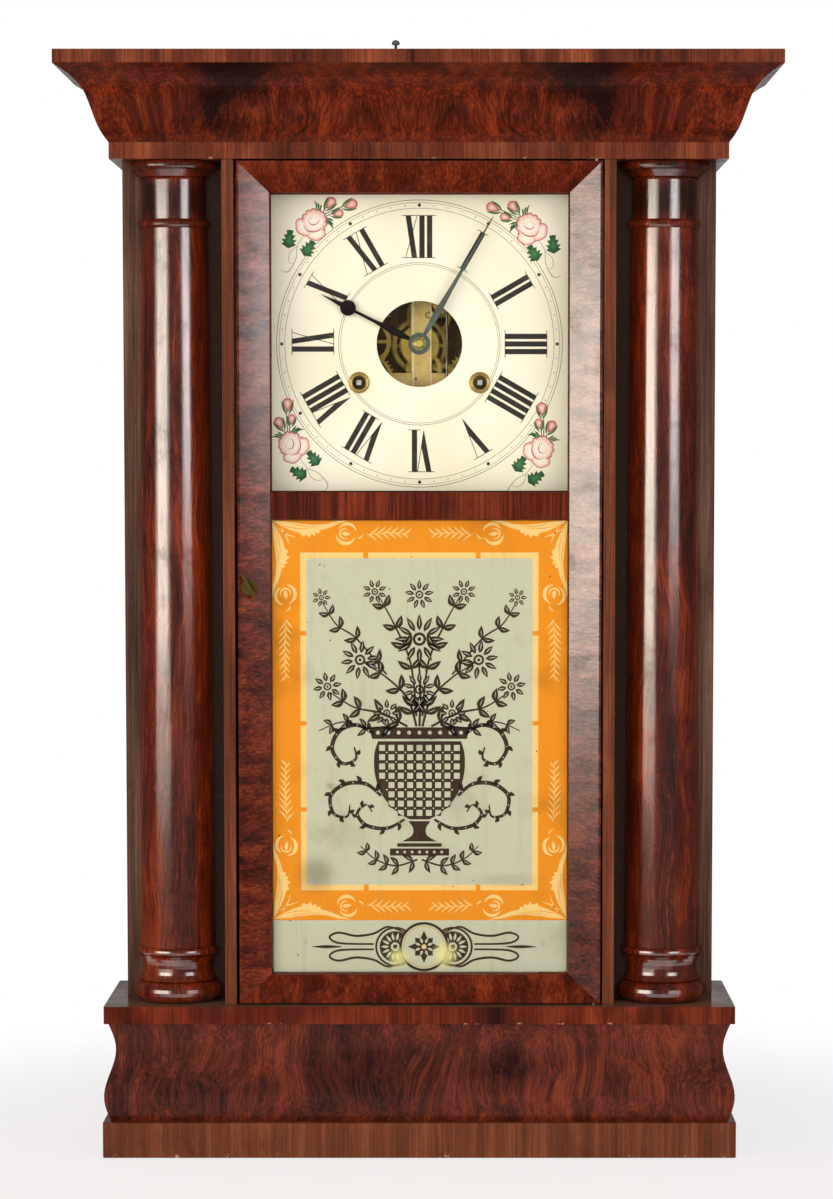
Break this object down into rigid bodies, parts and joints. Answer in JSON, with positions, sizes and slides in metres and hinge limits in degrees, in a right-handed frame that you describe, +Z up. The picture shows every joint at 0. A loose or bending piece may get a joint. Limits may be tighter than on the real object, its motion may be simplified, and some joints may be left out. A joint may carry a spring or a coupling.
{
  "type": "column and cornice shelf clock",
  "caption": "Tall wooden shelf clock with half-round columns, ogee base and cornice, glazed door and striking weight-driven movement.",
  "frame": {"origin": "middle of the case's box, at the bottom of the plinth", "axes": "+Z up, the dial faces -Y, +X to the right of someone facing the dial"},
  "size_m": [0.478, 0.1484, 0.737],
  "materials": {
    "mahogany": "polished figured veneer",
    "softwood": "planed softwood",
    "glass": "clear pane",
    "tablet": "reverse painted pane",
    "dial_paint": "painted board",
    "brass": "aged brass",
    "steel": "dull steel",
    "hand_dark": "dark blued",
    "iron": "rough casting",
    "cord": "twisted cord"
  },
  "bodies": {
    "case": {"plinth": "mahogany", "base_ogee": "mahogany", "ledge_board": "mahogany", "case_side_left": "mahogany", "case_side_right": "mahogany", "back_board": "softwood", "pilaster_left": "mahogany", "pilaster_right": "mahogany", "jamb_left": "mahogany", "jamb_right": "mahogany", "column_left": "mahogany", "column_right": "mahogany", "frieze_board": "mahogany", "cornice_ogee": "mahogany", "cornice_cap": "mahogany", "hinge_pins": "steel", "dial_board": "dial_paint", "dial_grommets": "brass", "dial_cleats": "softwood", "front_plate": "brass", "back_plate": "brass", "movement_rails": "softwood", "gong_coil": "steel", "gong_stand": "iron", "pulley_brackets": "softwood", "cord_runs": "cord", "time_cord_fall": "cord", "strike_cord_fall": "cord"},
    "door": {"door_stile_left": "mahogany", "door_stile_right": "mahogany", "door_top_rail": "mahogany", "door_middle_rail": "mahogany", "door_bottom_rail": "mahogany", "dial_glass": "glass", "tablet_glass": "tablet", "glazing_strips": "softwood"},
    "catch": {"door_catch": "brass"},
    "minute_work": {"centre_arbor": "brass", "minute_hand": "steel", "hand_collet": "brass"},
    "hour_work": {"hour_wheel": "brass", "hour_hand": "hand_dark"},
    "motion_work": {"motion_wheel": "brass"},
    "time_great": {"time_great_wheel": "brass"},
    "second": {"second_wheel": "brass"},
    "third": {"third_wheel": "brass"},
    "escape": {"escape_wheel": "brass"},
    "verge_rocker": {"verge": "steel"},
    "pendulum": {"pendulum_rod": "steel", "pendulum_bob": "brass"},
    "time_driver": {"time_weight": "iron"},
    "time_barrel": {"time_drum": "softwood"},
    "time_sheave": {"time_pulley": "softwood"},
    "strike_driver": {"strike_weight": "iron"},
    "strike_barrel": {"strike_drum": "softwood"},
    "strike_sheave": {"strike_pulley": "softwood"},
    "strike_great": {"strike_great_wheel": "brass"},
    "strike_pins": {"pin_wheel": "brass"},
    "fly": {"strike_fly": "brass"},
    "hammer_arm": {"hammer": "steel"}
  },
  "joints": [
    {"name": "door_swing", "type": "hinge", "parent": "case", "child": "door", "pos_m": [0.118, -0.03625, 0.385], "axis": [0, 0, 1], "range_deg": [0, 110]},
    {"name": "catch_turn", "type": "hinge", "parent": "door", "child": "catch", "pos_m": [-0.1134, -0.03, 0.3848], "axis": [0, 1, 0], "range_deg": [0, 90]},
    {"name": "minute_turn", "type": "hinge", "parent": "case", "child": "minute_work", "pos_m": [0, 0, 0.5476], "axis": [0, 1, 0], "continuous": true},
    {"name": "hour_turn", "type": "hinge", "parent": "case", "child": "hour_work", "pos_m": [0, 0, 0.5476], "axis": [0, 1, 0], "continuous": true},
    {"name": "motion_turn", "type": "hinge", "parent": "case", "child": "motion_work", "pos_m": [0.00287, 0, 0.53135], "axis": [0, 1, 0], "continuous": true},
    {"name": "second_turn", "type": "hinge", "parent": "case", "child": "second", "pos_m": [0.01211, 0, 0.51739], "axis": [0, 1, 0], "continuous": true},
    {"name": "time_great_turn", "type": "hinge", "parent": "case", "child": "time_great", "pos_m": [0.0408, 0, 0.5216], "axis": [0, 1, 0], "continuous": true},
    {"name": "third_turn", "type": "hinge", "parent": "case", "child": "third", "pos_m": [0.006, 0, 0.56785], "axis": [0, 1, 0], "continuous": true},
    {"name": "escape_turn", "type": "hinge", "parent": "case", "child": "escape", "pos_m": [0.01855, 0, 0.57939], "axis": [0, 1, 0], "continuous": true},
    {"name": "pendulum_swing", "type": "hinge", "parent": "case", "child": "pendulum", "pos_m": [0.01855, 0.00825, 0.60589], "axis": [0, 1, 0], "range_deg": [-4, 4]},
    {"name": "verge_rock", "type": "hinge", "parent": "case", "child": "verge_rocker", "pos_m": [0.01855, 0, 0.59489], "axis": [0, 1, 0], "range_deg": [-5.8, 5.8]},
    {"name": "time_weight_rise", "type": "slide", "parent": "case", "child": "time_driver", "axis": [0, 0, 1], "range_m": [0, 0.349], "deforming": ["time_cord_fall"]},
    {"name": "time_drum_turn", "type": "hinge", "parent": "case", "child": "time_barrel", "pos_m": [0.0408, 0, 0.5216], "axis": [0, 1, 0], "range_deg": [-1700, 10]},
    {"name": "time_pulley_turn", "type": "hinge", "parent": "case", "child": "time_sheave", "pos_m": [0.145, 0.04475, 0.684], "axis": [0, 1, 0], "range_deg": [-1450, 10]},
    {"name": "strike_weight_rise", "type": "slide", "parent": "case", "child": "strike_driver", "axis": [0, 0, 1], "range_m": [0, 0.349], "deforming": ["strike_cord_fall"]},
    {"name": "strike_drum_turn", "type": "hinge", "parent": "case", "child": "strike_barrel", "pos_m": [-0.0408, 0, 0.5216], "axis": [0, 1, 0], "range_deg": [-10, 1700]},
    {"name": "strike_pulley_turn", "type": "hinge", "parent": "case", "child": "strike_sheave", "pos_m": [-0.145, 0.04475, 0.684], "axis": [0, 1, 0], "range_deg": [-10, 1450]},
    {"name": "strike_turn", "type": "hinge", "parent": "case", "child": "strike_great", "pos_m": [-0.0408, 0, 0.5216], "axis": [0, 1, 0], "continuous": true},
    {"name": "pin_wheel_turn", "type": "hinge", "parent": "case", "child": "strike_pins", "pos_m": [-0.03576, 0, 0.55016], "axis": [0, 1, 0], "continuous": true},
    {"name": "fly_turn", "type": "hinge", "parent": "case", "child": "fly", "pos_m": [-0.031, 0, 0.56796], "axis": [0, 1, 0], "continuous": true},
    {"name": "hammer_swing", "type": "hinge", "parent": "case", "child": "hammer_arm", "pos_m": [-0.01, 0, 0.5076], "axis": [0, 1, 0], "range_deg": [0, 8], "stiffness_Nm_per_rad": 0.02, "springref_deg": -5.73}
  ],
  "couplings": [
    {"joint": "hour_turn", "follows": "minute_turn", "ratio": 0.083333},
    {"joint": "motion_turn", "follows": "minute_turn", "ratio": -0.33333},
    {"joint": "second_turn", "follows": "minute_turn", "ratio": -0.75},
    {"joint": "time_great_turn", "follows": "minute_turn", "ratio": 0.15625},
    {"joint": "third_turn", "follows": "minute_turn", "ratio": -10},
    {"joint": "escape_turn", "follows": "minute_turn", "ratio": 93.333},
    {"joint": "verge_rock", "follows": "pendulum_swing", "ratio": 1.4231},
    {"joint": "time_drum_turn", "follows": "time_weight_rise", "rad_per_m": -84.388},
    {"joint": "time_pulley_turn", "follows": "time_weight_rise", "rad_per_m": -71.429},
    {"joint": "strike_drum_turn", "follows": "strike_weight_rise", "rad_per_m": 84.388},
    {"joint": "strike_pulley_turn", "follows": "strike_weight_rise", "rad_per_m": 71.429},
    {"joint": "pin_wheel_turn", "follows": "strike_turn", "ratio": -4.8},
    {"joint": "fly_turn", "follows": "strike_turn", "ratio": 41.143}
  ]
}
